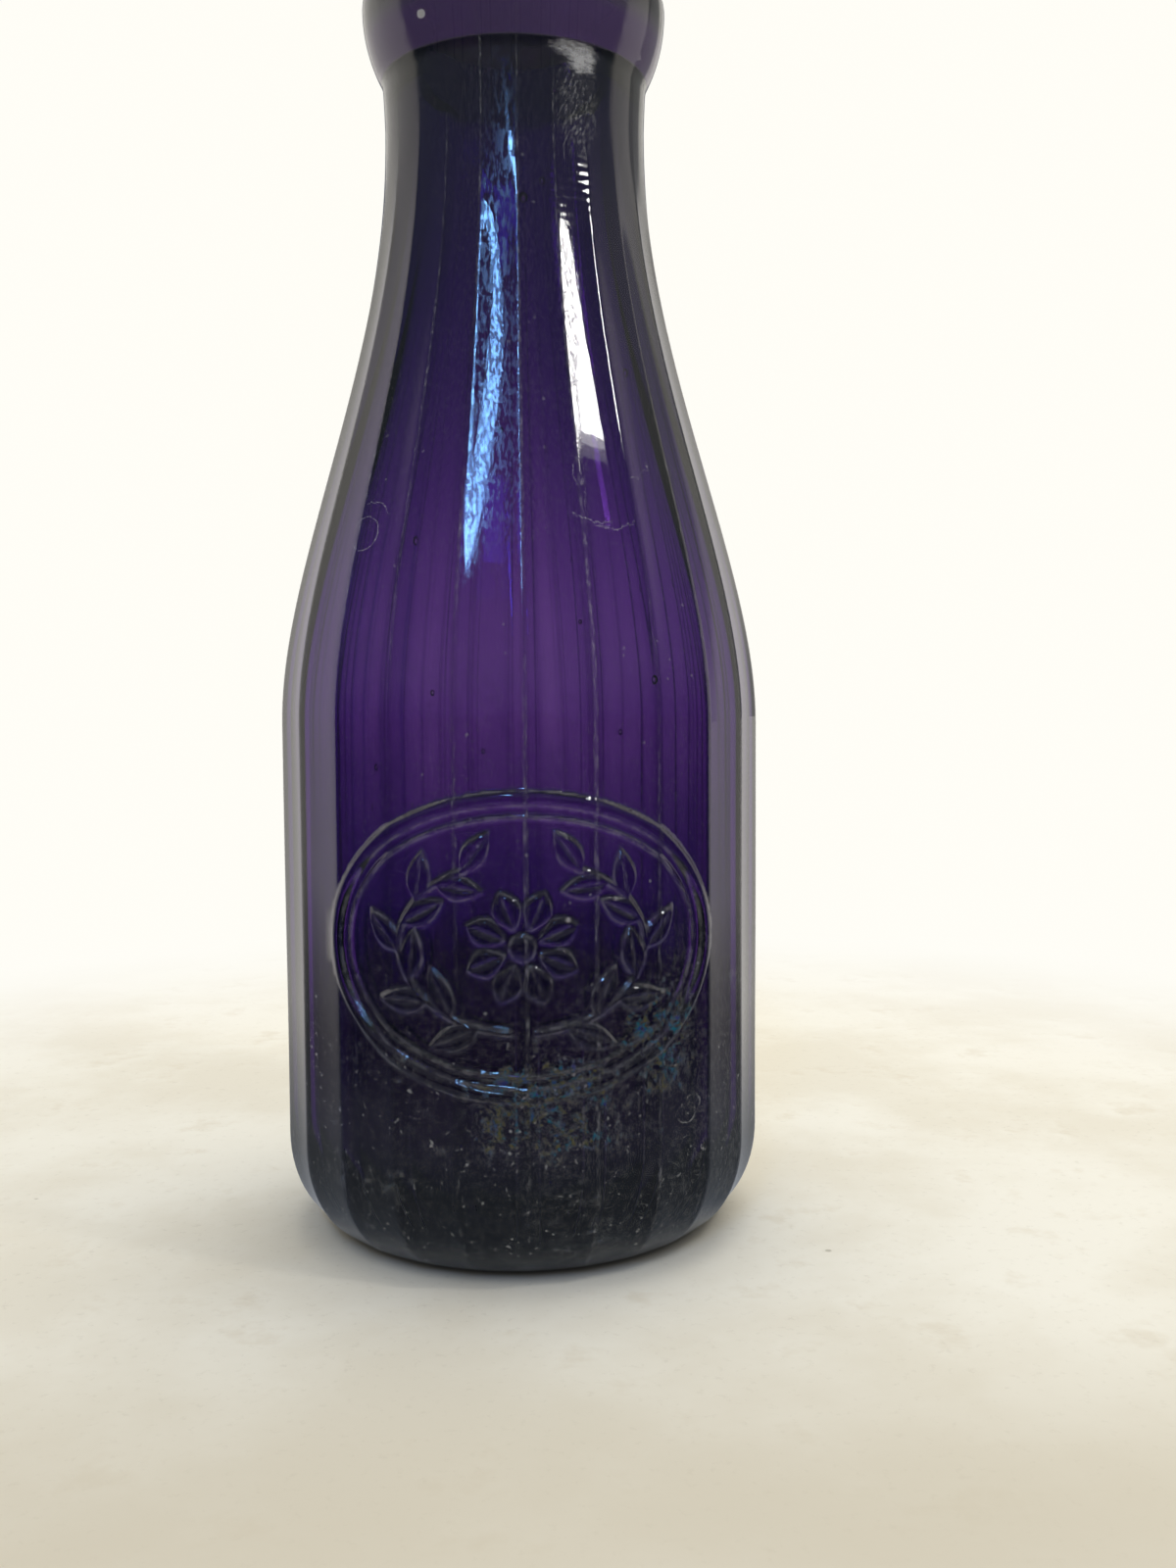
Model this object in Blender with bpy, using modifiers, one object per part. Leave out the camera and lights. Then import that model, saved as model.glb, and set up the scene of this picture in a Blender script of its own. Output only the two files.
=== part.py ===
"""A quart milk bottle of panelled glass, closed by a stapled paper cap with a lifting tab.

Metres, +Z up. The bottle stands on Z = 0 with its axis on the Z axis, and its front faces -Y.
"""

import math

import bmesh
import bpy
from mathutils import Vector, geometry

# Outside of the glass
BODY_DIAMETER = 0.09525
BOTTLE_HEIGHT = 0.2413
SHOULDER_HEIGHT = 0.0998
NECK_DIAMETER = 0.0506
NECK_LENGTH = 0.0087
SHOULDER_HANDLE_SHARE = 0.27
NECK_HANDLE_SHARE = 0.39

# Panels pressed round the body, which ease into the round neck and the round base
PANEL_COUNT = 24
STEPS_PER_PANEL = 3
PANEL_NECK_EASE = 0.030
PANEL_HEEL_EASE = 0.004

# Heel and base
HEEL_HEIGHT = 0.0203
HEEL_WIDTH = 0.0147
BEARING_WIDTH = 0.0030
PUSH_UP = 0.0032

# Bead of the mouth
BEAD_HEIGHT = 0.0176
BEAD_OVERHANG = 0.0037
BEAD_TOP_ROUND = 0.0040
CREASE_FLARE = 0.0004
RIM_INNER_ROUND = 0.0008

# Cavity of the glass
BODY_WALL = 0.0034
FLOOR_THICKNESS = 0.0055
FLOOR_RISE = 0.0015
CAVITY_HEEL_HEIGHT = 0.0180
CAVITY_HEEL_WIDTH = 0.0165

# Seat that the cap drops into, whose ledge leaves the bore of throat and neck
SEAT_DEPTH = 0.0058
SEAT_LEDGE = 0.0021

# Raised oval frame on the front
FRAME_WIDTH = 0.0740
FRAME_HEIGHT = 0.0520
FRAME_CENTRE_HEIGHT = 0.0620
FRAME_BEAD_DIAMETER = 0.0026
FRAME_RELIEF = 0.0007
FRAME_POINTS = 72

# Cap of waxed board
CAP_DIAMETER = 0.0413
CAP_THICKNESS = 0.0012
CAP_EDGE_ROUND = 0.00015

# Paper tab, stapled behind its fold
TAB_WIDTH = 0.0160
TAB_THICKNESS = 0.0004
TAB_REACH = 0.0180
STRIP_LENGTH = 0.0060
FOLD_OFFSET = 0.0030

# Wire staple
WIRE_DIAMETER = 0.0006
WIRE_BEND_RADIUS = 0.0006
STAPLE_WIDTH = 0.0100
CLINCH_LENGTH = 0.0032

# Gap between pieces that touch, and how far a cutter runs past a face
CLEARANCE = 0.0003
OVERRUN = 0.0020

# Counts of segments
SHOULDER_SEGMENTS = 15
ARC_SEGMENTS = 6
DOME_SEGMENTS = 4
ROUND_SEGMENTS = 4
CAVITY_STEPS = 60
DISC_SEGMENTS = 72
HOLE_SEGMENTS = 16
NOSE_SEGMENTS = 16
BEND_SEGMENTS = 4
WIRE_BEVEL_RESOLUTION = 2
FRAME_BEVEL_RESOLUTION = 2
MERGE_DISTANCE = 0.00001
SHARP_ANGLE = math.radians(12)

# Places that follow from the sizes
BODY_RADIUS = BODY_DIAMETER / 2
NECK_RADIUS = NECK_DIAMETER / 2
CREASE_HEIGHT = BOTTLE_HEIGHT - BEAD_HEIGHT
WAIST_HEIGHT = CREASE_HEIGHT - NECK_LENGTH
CREASE_RADIUS = NECK_RADIUS + CREASE_FLARE
LIP_RADIUS = CREASE_RADIUS + BEAD_OVERHANG
BEARING_RADIUS = BODY_RADIUS - HEEL_WIDTH
SEAT_RADIUS = CAP_DIAMETER / 2 + CLEARANCE
SEAT_HEIGHT = BOTTLE_HEIGHT - SEAT_DEPTH
THROAT_RADIUS = SEAT_RADIUS - SEAT_LEDGE
FLOOR_HEIGHT = PUSH_UP + FLOOR_THICKNESS
CAP_BOTTOM = SEAT_HEIGHT + CLEARANCE
CAP_TOP = CAP_BOTTOM + CAP_THICKNESS
TAB_BOTTOM = CAP_TOP + CLEARANCE
TAB_MIDDLE = TAB_BOTTOM + TAB_THICKNESS / 2
TAB_TOP = TAB_BOTTOM + TAB_THICKNESS
FOLD_GAP = TAB_THICKNESS / 2 + CLEARANCE
STRIP_FRONT = FOLD_OFFSET + FOLD_GAP
STAPLE_OFFSET = STRIP_FRONT + STRIP_LENGTH / 2
WIRE_RADIUS = WIRE_DIAMETER / 2


def clear_scene():
    """Remove every object, so that the model starts from nothing."""
    for obj in list(bpy.data.objects):
        bpy.data.objects.remove(obj, do_unlink=True)


def make_collection(name):
    collection = bpy.data.collections.new(name)
    bpy.context.scene.collection.children.link(collection)
    return collection


def make_material(name, colour, roughness, metallic=0.0, transmission=0.0):
    """A Principled material of one colour."""
    material = bpy.data.materials.new(name)
    material.use_nodes = True
    shader = material.node_tree.nodes["Principled BSDF"]
    shader.inputs["Base Color"].default_value = (*colour, 1.0)
    shader.inputs["Roughness"].default_value = roughness
    shader.inputs["Metallic"].default_value = metallic
    shader.inputs["Transmission Weight"].default_value = transmission
    material.diffuse_color = (*colour, 1.0)
    return material


def add_object(name, mesh, collection, material=None):
    obj = bpy.data.objects.new(name, mesh)
    collection.objects.link(obj)
    if material:
        mesh.materials.clear()
        mesh.materials.append(material)
    return obj


def smooth(mesh):
    """Shade round faces smooth and keep the ridges between them sharp."""
    mesh.shade_smooth()
    mesh.set_sharp_from_angle(angle=SHARP_ANGLE)


def evaluated_mesh(obj):
    """The mesh of an object as its modifiers or its curve settings make it."""
    graph = bpy.context.evaluated_depsgraph_get()
    return bpy.data.meshes.new_from_object(obj.evaluated_get(graph))


def arc(centre, radii, start, end, count):
    """Points of an elliptic arc in the (radius, height) plane, angles in degrees from +radius."""
    points = []
    for i in range(count + 1):
        angle = math.radians(start + (end - start) * i / count)
        across = centre[0] + radii[0] * math.cos(angle)
        up = centre[1] + radii[1] * math.sin(angle)
        points.append((across, up))
    return points


def shoulder_curve(neck, body):
    """The S-shaped fall from the neck to the body, upright where it meets each of them."""
    fall = neck[1] - body[1]
    neck_handle = Vector((neck[0], neck[1] - NECK_HANDLE_SHARE * fall))
    body_handle = Vector((body[0], body[1] + SHOULDER_HANDLE_SHARE * fall))
    count = SHOULDER_SEGMENTS + 1
    curve = geometry.interpolate_bezier(Vector(neck), neck_handle, body_handle, Vector(body), count)
    return [(point.x, point.y) for point in curve]


def bead_outline():
    """The mouth's bead: flat rim, rounded top, and a flank that draws in to the crease."""
    widest = BOTTLE_HEIGHT - BEAD_TOP_ROUND
    drop = widest - CREASE_HEIGHT
    swing = 2 * math.atan2(BEAD_OVERHANG, drop)
    flank_radius = drop / math.sin(swing)
    top_centre = (LIP_RADIUS - BEAD_TOP_ROUND, widest)
    flank_centre = (LIP_RADIUS - flank_radius, widest)
    top = arc(top_centre, (BEAD_TOP_ROUND, BEAD_TOP_ROUND), 90, 0, ROUND_SEGMENTS)
    flank = arc(flank_centre, (flank_radius, flank_radius), 0, -math.degrees(swing), ARC_SEGMENTS)
    return top + flank[1:]


def base_outline():
    """The heel, the narrow ring that the bottle stands on, and the dome pushed up inside it."""
    heel = arc((BEARING_RADIUS, HEEL_HEIGHT), (HEEL_WIDTH, HEEL_HEIGHT), 0, -90, ARC_SEGMENTS)
    dome_radius = BEARING_RADIUS - BEARING_WIDTH
    dome = arc((0, 0), (dome_radius, PUSH_UP), 0, 90, DOME_SEGMENTS)
    dome[-1] = (0, PUSH_UP)
    return heel + dome


def glass_outline():
    """Outside of the bottle, from the middle of the mouth down to the middle of the base."""
    shoulder = shoulder_curve((NECK_RADIUS, WAIST_HEIGHT), (BODY_RADIUS, SHOULDER_HEIGHT))
    return [(0, BOTTLE_HEIGHT)] + bead_outline() + shoulder + base_outline()


def cavity_outline():
    """Inside of the bottle, from above the rim down to the middle of the floor."""
    wall = BODY_RADIUS - BODY_WALL
    rim_centre = (SEAT_RADIUS + RIM_INNER_ROUND, BOTTLE_HEIGHT - RIM_INNER_ROUND)
    rim = arc(rim_centre, (RIM_INNER_ROUND, RIM_INNER_ROUND), 90, 180, ROUND_SEGMENTS)
    top = BOTTLE_HEIGHT + OVERRUN
    mouth = [(0, top), (rim[0][0], top)] + rim
    ledge = [(SEAT_RADIUS, SEAT_HEIGHT), (THROAT_RADIUS, SEAT_HEIGHT)]
    shoulder = shoulder_curve((THROAT_RADIUS, WAIST_HEIGHT), (wall, SHOULDER_HEIGHT))
    heel_radii = (CAVITY_HEEL_WIDTH, CAVITY_HEEL_HEIGHT)
    heel_low = FLOOR_HEIGHT - FLOOR_RISE
    heel_centre = (wall - CAVITY_HEEL_WIDTH, heel_low + CAVITY_HEEL_HEIGHT)
    heel = arc(heel_centre, heel_radii, 0, -90, ARC_SEGMENTS)
    return mouth + ledge + shoulder + heel + [(0, FLOOR_HEIGHT)]


def turned(name, outline, steps, collection):
    """Turn an outline that runs down the outer side, with a Screw modifier about Z."""
    mesh = bpy.data.meshes.new(name)
    vertices = [(across, 0, up) for across, up in outline]
    edges = [(i, i + 1) for i in range(len(vertices) - 1)]
    mesh.from_pydata(vertices, edges, [])
    obj = add_object(name, mesh, collection)
    screw = obj.modifiers.new("turn", "SCREW")
    screw.steps = steps
    screw.render_steps = steps
    screw.use_merge_vertices = True
    screw.merge_threshold = MERGE_DISTANCE
    return obj


def ease(share):
    """A smooth step from 0 to 1."""
    share = min(max(share, 0.0), 1.0)
    return share * share * (3 - 2 * share)


def press_panels(mesh):
    """Press the round side flat between evenly spaced ridges, which keep their radius."""
    pitch = 2 * math.pi / PANEL_COUNT
    for vertex in mesh.vertices:
        place = vertex.co
        angle = math.atan2(place.y, place.x) % pitch
        flat = math.cos(pitch / 2) / math.cos(angle - pitch / 2)
        depth = ease((WAIST_HEIGHT - place.z) / PANEL_NECK_EASE) * ease(place.z / PANEL_HEEL_EASE)
        on_side = math.hypot(place.x, place.y) > BEARING_RADIUS or place.z > SHOULDER_HEIGHT
        if on_side:
            squeeze = 1 + (flat - 1) * depth
            place.x *= squeeze
            place.y *= squeeze


def hide_tool(obj):
    """Mark an object that only shapes others."""
    obj.hide_render = True
    obj.display_type = "WIRE"


def curve_object(name, points, collection, closed=False):
    """A curve through the points, with straight runs between them."""
    curve = bpy.data.curves.new(name, "CURVE")
    spline = curve.splines.new("POLY")
    spline.points.add(len(points) - 1)
    for target, point in zip(spline.points, points):
        target.co = (*point, 1)
    spline.use_cyclic_u = closed
    obj = bpy.data.objects.new(name, curve)
    collection.objects.link(obj)
    return obj


def curve_to_mesh(curve_obj, collection, material=None):
    """Replace a curve object by a mesh of the same name and place, with its caps welded on."""
    mesh = evaluated_mesh(curve_obj)
    work = bmesh.new()
    work.from_mesh(mesh)
    bmesh.ops.remove_doubles(work, verts=work.verts, dist=MERGE_DISTANCE)
    work.to_mesh(mesh)
    work.free()
    name = curve_obj.name
    place = curve_obj.matrix_world.copy()
    bpy.data.objects.remove(curve_obj, do_unlink=True)
    obj = add_object(name, mesh, collection, material)
    obj.matrix_world = place
    return obj


def make_front_frame(collection):
    """The half-round bead of an oval frame, wrapped on the front of the body."""
    run = BODY_RADIUS + FRAME_RELIEF - FRAME_BEAD_DIAMETER / 2
    half_angle = FRAME_WIDTH / 2 / BODY_RADIUS
    points = []
    for i in range(FRAME_POINTS):
        turn = 2 * math.pi * i / FRAME_POINTS
        angle = half_angle * math.cos(turn) - math.pi / 2
        height = FRAME_CENTRE_HEIGHT + FRAME_HEIGHT / 2 * math.sin(turn)
        points.append((run * math.cos(angle), run * math.sin(angle), height))
    frame = curve_object("front_frame", points, collection, closed=True)
    frame.data.dimensions = "3D"
    frame.data.bevel_depth = FRAME_BEAD_DIAMETER / 2
    frame.data.bevel_resolution = FRAME_BEVEL_RESOLUTION
    return curve_to_mesh(frame, collection)


def add_boolean(obj, operation, tool):
    modifier = obj.modifiers.new(tool.name, "BOOLEAN")
    modifier.operation = operation
    modifier.solver = "EXACT"
    modifier.object = tool


def make_bottle(parts, tools):
    """The glass: a turned and panelled blank, its raised frame, and the cavity cut from it."""
    blank = turned("blank", glass_outline(), PANEL_COUNT * STEPS_PER_PANEL, tools)
    mesh = evaluated_mesh(blank)
    bpy.data.objects.remove(blank, do_unlink=True)
    press_panels(mesh)
    smooth(mesh)
    glass = make_material("violet_glass", (0.09, 0.03, 0.22), 0.04, transmission=1.0)
    bottle = add_object("bottle", mesh, parts, glass)
    frame = make_front_frame(tools)
    cavity = turned("cavity", cavity_outline(), CAVITY_STEPS, tools)
    for tool, operation in ((frame, "UNION"), (cavity, "DIFFERENCE")):
        hide_tool(tool)
        add_boolean(bottle, operation, tool)
    return bottle


def make_leg_holes(tools):
    """Cutters for the two holes that the staple's legs pass through."""
    holes = []
    low = CAP_BOTTOM - OVERRUN
    depth = TAB_TOP + OVERRUN - low
    for side, name in ((-1, "left_leg_hole"), (1, "right_leg_hole")):
        mesh = bpy.data.meshes.new(name)
        work = bmesh.new()
        radius = WIRE_RADIUS + CLEARANCE
        bmesh.ops.create_cone(
            work, cap_ends=True, segments=HOLE_SEGMENTS, radius1=radius, radius2=radius, depth=depth
        )
        work.to_mesh(mesh)
        work.free()
        hole = add_object(name, mesh, tools)
        hole.location = (side * STAPLE_WIDTH / 2, STAPLE_OFFSET, low + depth / 2)
        hide_tool(hole)
        holes.append(hole)
    return holes


def make_cap_disc(parts, holes):
    """The disc of waxed board, with the holes of the staple's legs."""
    mesh = bpy.data.meshes.new("cap_disc")
    work = bmesh.new()
    radius = CAP_DIAMETER / 2
    bmesh.ops.create_cone(
        work, cap_ends=True, segments=DISC_SEGMENTS, radius1=radius, radius2=radius, depth=CAP_THICKNESS
    )
    work.to_mesh(mesh)
    work.free()
    smooth(mesh)
    disc = add_object("cap_disc", mesh, parts, make_material("waxed_board", (0.80, 0.74, 0.60), 0.55))
    edge = disc.modifiers.new("edge", "BEVEL")
    edge.width = CAP_EDGE_ROUND
    edge.segments = 1
    disc.location = (0, 0, CAP_BOTTOM + CAP_THICKNESS / 2)
    for hole in holes:
        add_boolean(disc, "DIFFERENCE", hole)
    return disc


def sheet(name, outline, parts, material):
    """A flat piece of paper from its outline in X and Y, centred on Z = 0."""
    points = [(across, along, 0) for across, along in outline]
    obj = curve_object(name, points, parts, closed=True)
    obj.data.dimensions = "2D"
    obj.data.fill_mode = "BOTH"
    obj.data.extrude = TAB_THICKNESS / 2
    return curve_to_mesh(obj, parts, material)


def make_tab_strip(parts, material, holes):
    """The part of the tab behind its fold, held down by the staple."""
    half = TAB_WIDTH / 2
    outline = [(-half, 0), (half, 0), (half, STRIP_LENGTH), (-half, STRIP_LENGTH)]
    strip = sheet("tab_strip", outline, parts, material)
    strip.location = (0, STRIP_FRONT, TAB_MIDDLE)
    for hole in holes:
        add_boolean(strip, "DIFFERENCE", hole)
    return strip


def make_pull_tab(parts, material):
    """The lifting part of the tab: straight sides and a round nose, with its origin on the fold."""
    half = TAB_WIDTH / 2
    nose = arc((0, half - TAB_REACH), (half, half), 180, 360, NOSE_SEGMENTS)
    tab = sheet("pull_tab", [(half, 0), (-half, 0)] + nose, parts, material)
    tab.location = (0, FOLD_OFFSET, TAB_MIDDLE)
    return tab


def staple_half():
    """Centre line of the staple's right half, from the middle of the crown to its clinched end."""
    leg = STAPLE_WIDTH / 2
    crown = TAB_TOP + CLEARANCE + WIRE_RADIUS
    clinch = CAP_BOTTOM - CLEARANCE - WIRE_RADIUS
    bend = (WIRE_BEND_RADIUS, WIRE_BEND_RADIUS)
    inner = leg - WIRE_BEND_RADIUS
    upper = arc((inner, crown - WIRE_BEND_RADIUS), bend, 90, 0, BEND_SEGMENTS)
    lower = arc((inner, clinch + WIRE_BEND_RADIUS), bend, 0, -90, BEND_SEGMENTS)
    return upper + lower + [(leg - CLINCH_LENGTH, clinch)]


def make_staple(parts):
    """The wire staple through tab and disc, with its ends bent inwards underneath."""
    right = staple_half()
    left = [(-across, up) for across, up in reversed(right)]
    points = [(across, 0, up) for across, up in left + right]
    staple = curve_object("cap_staple", points, parts)
    staple.data.dimensions = "3D"
    staple.data.bevel_depth = WIRE_RADIUS
    staple.data.bevel_resolution = WIRE_BEVEL_RESOLUTION
    staple.data.use_fill_caps = True
    wire = make_material("staple_wire", (0.55, 0.54, 0.52), 0.35, metallic=1.0)
    staple = curve_to_mesh(staple, parts, wire)
    smooth(staple.data)
    staple.location = (0, STAPLE_OFFSET, 0)
    return staple


def make_cap(parts, tools):
    """The cap's pieces, carried by an empty on the bottle's axis."""
    carrier = bpy.data.objects.new("cap", None)
    parts.objects.link(carrier)
    holes = make_leg_holes(tools)
    paper = make_material("tab_paper", (0.72, 0.60, 0.42), 0.70)
    pieces = [
        make_cap_disc(parts, holes),
        make_tab_strip(parts, paper, holes),
        make_pull_tab(parts, paper.copy()),
        make_staple(parts),
    ]
    for piece in pieces:
        piece.parent = carrier


def main():
    clear_scene()
    parts = make_collection("milk_bottle")
    tools = make_collection("milk_bottle_tools")
    make_bottle(parts, tools)
    make_cap(parts, tools)


main()
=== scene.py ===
"""The looks of the milk bottle: violet pressed glass with a stain low inside, and its paper cap."""

import math

import bmesh
import bpy
import numpy as np
from mathutils import Matrix, Vector


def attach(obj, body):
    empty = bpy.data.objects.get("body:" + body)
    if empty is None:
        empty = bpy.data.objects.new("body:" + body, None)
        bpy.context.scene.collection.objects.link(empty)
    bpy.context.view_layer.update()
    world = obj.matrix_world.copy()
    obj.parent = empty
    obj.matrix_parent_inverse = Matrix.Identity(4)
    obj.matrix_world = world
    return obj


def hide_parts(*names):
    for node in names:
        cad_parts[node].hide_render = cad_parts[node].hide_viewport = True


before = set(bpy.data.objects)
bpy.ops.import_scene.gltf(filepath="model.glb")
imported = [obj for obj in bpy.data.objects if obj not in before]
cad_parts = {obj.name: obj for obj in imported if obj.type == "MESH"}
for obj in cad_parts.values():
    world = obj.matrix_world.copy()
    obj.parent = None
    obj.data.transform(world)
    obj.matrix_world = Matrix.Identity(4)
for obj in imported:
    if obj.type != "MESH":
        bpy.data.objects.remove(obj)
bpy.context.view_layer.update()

# Sizes in metres, as in the CAD model
BODY_RADIUS = 0.047625
BOTTLE_HEIGHT = 0.2413
SHOULDER_HEIGHT = 0.0998
NECK_RADIUS = 0.0253
WAIST_HEIGHT = 0.2150
CREASE_HEIGHT = 0.2237
CREASE_RADIUS = 0.0257
SHOULDER_HANDLE_SHARE = 0.27
NECK_HANDLE_SHARE = 0.39
BEAD_OVERHANG = 0.0037
BEAD_TOP_ROUND = 0.0040
HEEL_HEIGHT = 0.0203
HEEL_WIDTH = 0.0147
BEARING_WIDTH = 0.0030
PUSH_UP = 0.0032
BODY_WALL = 0.0034
FLOOR_HEIGHT = 0.0087
FLOOR_RISE = 0.0015
CAVITY_HEEL_HEIGHT = 0.0180
CAVITY_HEEL_WIDTH = 0.0165
SEAT_RADIUS = 0.02095
SEAT_HEIGHT = 0.2355
THROAT_RADIUS = 0.01885
RIM_INNER_ROUND = 0.0008
TAB_FOLD_PLACE = 0.003
PANEL_COUNT = 24
PANEL_NECK_EASE = 0.030
PANEL_HEEL_EASE = 0.004
PITCH = 2 * math.pi / PANEL_COUNT

# Finer forms that only the looks have
RIDGE_SOFTNESS = 0.0037
PANEL_HOLLOW = 0.000255
PANEL_TURN = math.radians(0.9)
INNER_WAVE = 0.00011
GLASS_RIPPLE = 0.00002

# Waves of the glass: seed, least and most turns round the axis, least and most lift with height
RIPPLE_WAVES = (3, (4, 18), (20, 120))
INNER_WAVES = (8, (5, 20), (-30, 30))

# The glass mesh's rows, as heights or as start, end and step, and its columns within a panel
LOW_ROWS = (0.0240, 0.0325, 0.0030)
RELIEF_ROWS = (0.0335, 0.0906, 0.00044)
HIGH_ROWS = (0.0930, 0.0962)
THROAT_ROWS = (0.2310, 0.2260, 0.2205)
WALL_ROWS = (0.0930, 0.0265, -0.0060)
RELIEF_COLUMNS = 32
RELIEF_REACH = math.radians(45)
PLAIN_COLUMNS = np.array([0.0, 0.04, 0.09, 0.20, 0.40, 0.60, 0.80, 0.91, 0.96])

# Raised work on the front
FRAME_WIDTH = 0.0740
FRAME_HEIGHT = 0.0520
FRAME_CENTRE_HEIGHT = 0.0620
FRAME_RELIEF = 0.00060
BEAD_RADIUS = 0.00145
INNER_OVAL = (0.908, 0.872)
OVAL_LINE = 0.0006
WREATH = (0.0225, 0.0150)
STEM_ENDS = (math.radians(-84), math.radians(64))
STEM_LINE = 0.0010
LEAF_PLACES = np.radians((-70, -56, -41, -24, -4, 15, 32, 47, 62))
LEAF_LEANS = (-0.62, 0.70)
LEAF_LENGTH = 0.0106
LEAF_SHORTENING = 0.0002
LEAF_WIDTH = 0.0050
PETAL_COUNT = 8
PETAL_SIZE = (0.0082, 0.0056)
FLOWER_HEART = 0.0026
FRONT = -math.pi / 2

# Bubbles in the wall: degrees from the front, height, distance from the axis, radius, stretch
BUBBLES = (
    (3.0, 0.1952, 0.0245, 0.00085, 1.25),
    (-5.0, 0.1520, 0.0337, 0.00055, 1.1),
    (11.5, 0.1985, 0.0238, 0.00060, 1.3),
    (-27.0, 0.1325, 0.0392, 0.00050, 1.8),
    (31.0, 0.1080, 0.0455, 0.00055, 1.6),
    (-19.0, 0.1060, 0.0458, 0.00040, 1.5),
    (14.0, 0.1180, 0.0432, 0.00035, 1.2),
    (39.0, 0.1640, 0.0305, 0.00060, 1.5),
    (-8.0, 0.0960, 0.0459, 0.00035, 1.4),
    (22.0, 0.0990, 0.0459, 0.00035, 1.6),
    (-33.0, 0.0930, 0.0459, 0.00045, 1.5),
    (120.0, 0.1300, 0.0395, 0.00070, 1.5),
    (-140.0, 0.0800, 0.0458, 0.00060, 1.4),
    (165.0, 0.1600, 0.0315, 0.00070, 1.4),
    (75.0, 0.0600, 0.0458, 0.00050, 1.8),
)

# Curved scratches: degrees from the front, height, radius, ends in degrees, half width
SCRATCHES = (
    (21.5, 0.1440, 0.0085, -135, -75, 0.00016),
    (23.0, 0.1432, 0.0085, -110, -50, 0.00010),
    (22.5, 0.1405, 0.0060, -120, -55, 0.00010),
    (20.0, 0.1450, 0.0040, -200, -130, 0.00010),
    (27.5, 0.1545, 0.0110, -80, -40, 0.00008),
    (-42.0, 0.1345, 0.0030, -180, 180, 0.00013),
    (-40.5, 0.1362, 0.0040, 20, 120, 0.00010),
    (28.5, 0.2030, 0.0060, 100, 190, 0.00010),
    (39.0, 0.0295, 0.0019, -170, 90, 0.00013),
    (41.0, 0.0312, 0.0015, -60, 170, 0.00012),
)

# Spots of coloured film: degrees from the front, height, half width, half height
FILM_PLACES = ((7.0, 0.0335, 0.0170, 0.0135), (30.0, 0.0450, 0.0085, 0.0170))

# Radii at which the angles of spots and scratches are turned into widths
SPOT_RADIUS = BODY_RADIUS / 1.4
SCRATCH_RADIUS = BODY_RADIUS * 0.85

# Height of one of the fine ribs high on the shoulder
RIB_SPACING = 0.0016

# Glass, and its tints: stain, film, wear and dirt, darker low down, with painted shade along some
# ridges and painted light on the lip, the relief's edges and a patch under the lip
GLASS_ABSORPTION = (0.333, 0.033, 0.55)
GLASS_DENSITY = 586.0
GLASS_IOR = 1.51
CLEAR_TINT = (0.985, 0.985, 0.985)
LOWER_DARK_TINT = (0.080, 0.050, 0.235)
STAIN_TINT = (0.005, 0.008, 0.018)
SEAM_TINT = (0.16, 0.13, 0.26)
# Painted shade: dark lines on the ridges at the right side.
RIGHT_RIDGE_SHADE_TINT = (0.05, 0.05, 0.12)
# Painted shade: bluer bands along the ridges at the left.
LEFT_RIDGE_SHADE_TINT = (0.30, 0.36, 0.80)
SEED_TINT = (0.22, 0.08, 0.30)
LINT_TINT = (0.42, 0.39, 0.52)
HAZE_TINT = (0.155, 0.19, 0.25)
# Pale matt tints for wear and dirt; they also paint the highlight under the lip and the light on the
# relief's edges.
WEAR_AND_HIGHLIGHT_TINT = (0.62, 0.62, 0.64)
RELIEF_WEAR_AND_LIGHT_TINT = (0.56, 0.50, 0.70)
# Painted light: a lighter violet on the lip, for light passing through the thick glass.
LIP_TINT = (0.42, 0.27, 0.72)
FILM_COLOURS = (
    (0.38, (0.06, 0.08, 0.60)),
    (0.45, (0.02, 0.44, 0.58)),
    (0.49, (0.05, 0.12, 0.26)),
    (0.54, (0.42, 0.34, 0.05)),
    (0.58, (0.16, 0.22, 0.10)),
    (0.63, (0.05, 0.20, 0.62)),
)

# Surroundings: what the camera sees, what lights matt places, and the room that gloss mirrors
PALE = (1.0, 0.985, 0.925)
AMBIENT = (0.68, 0.67, 0.645)
SIDE_LIGHT = (0.95, 0.92, 0.86)
ROOM_LOW = (0.045, 0.06, 0.10)
ROOM_HIGH = (0.20, 0.23, 0.28)
ROOM_DIM = (0.18, 0.19, 0.20)
ROOM_BEHIND = (0.10, 0.11, 0.14)
BEHIND_EDGES = (math.radians(160), math.radians(169))

# The paper under the bottle, just below the CAD's lowest face
FLOOR_SIZE = 6.0
FLOOR_DROP = 0.00015

# The photograph's camera
CAMERA_PLACE = (0.0, -0.3014, 0.10778)
CAMERA_TURN = 0.0452
CAMERA_DIP = 0.0686
CAMERA_ROLL = -0.0059
CAMERA_LENS = 34.17
SENSOR_HEIGHT = 36.0

# Height that every lamp faces
LAMP_AIM = 0.15

# Strips that make the white streak: name, ends above their foot, and radiance
STREAK_AZIMUTH = math.radians(59.3)
STREAK_DISTANCE = 0.2586
STREAK_WIDTH = 0.0350
STREAK_COLOUR = (1.0, 0.98, 0.95)
STREAK_LAMPS = (
    ("streak_lamp", 0.345, 0.430, 34.0),
    ("streak_end", 0.340, 0.345, 6.0),
    ("streak_tail", 0.334, 0.340, 1.4),
)

# Strips that make the blue streak: name, and how many times aside from the middle one
SKY_DISTANCE = 1.2
SKY_COLOUR = (0.20, 0.47, 1.0)
SKY_RADIANCE = 41.0
BLUE_LAMPS = (("blue_lamp_left", -1.36), ("blue_lamp", 0.0), ("blue_lamp_right", 1.36))


# Shape of the glass


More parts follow.
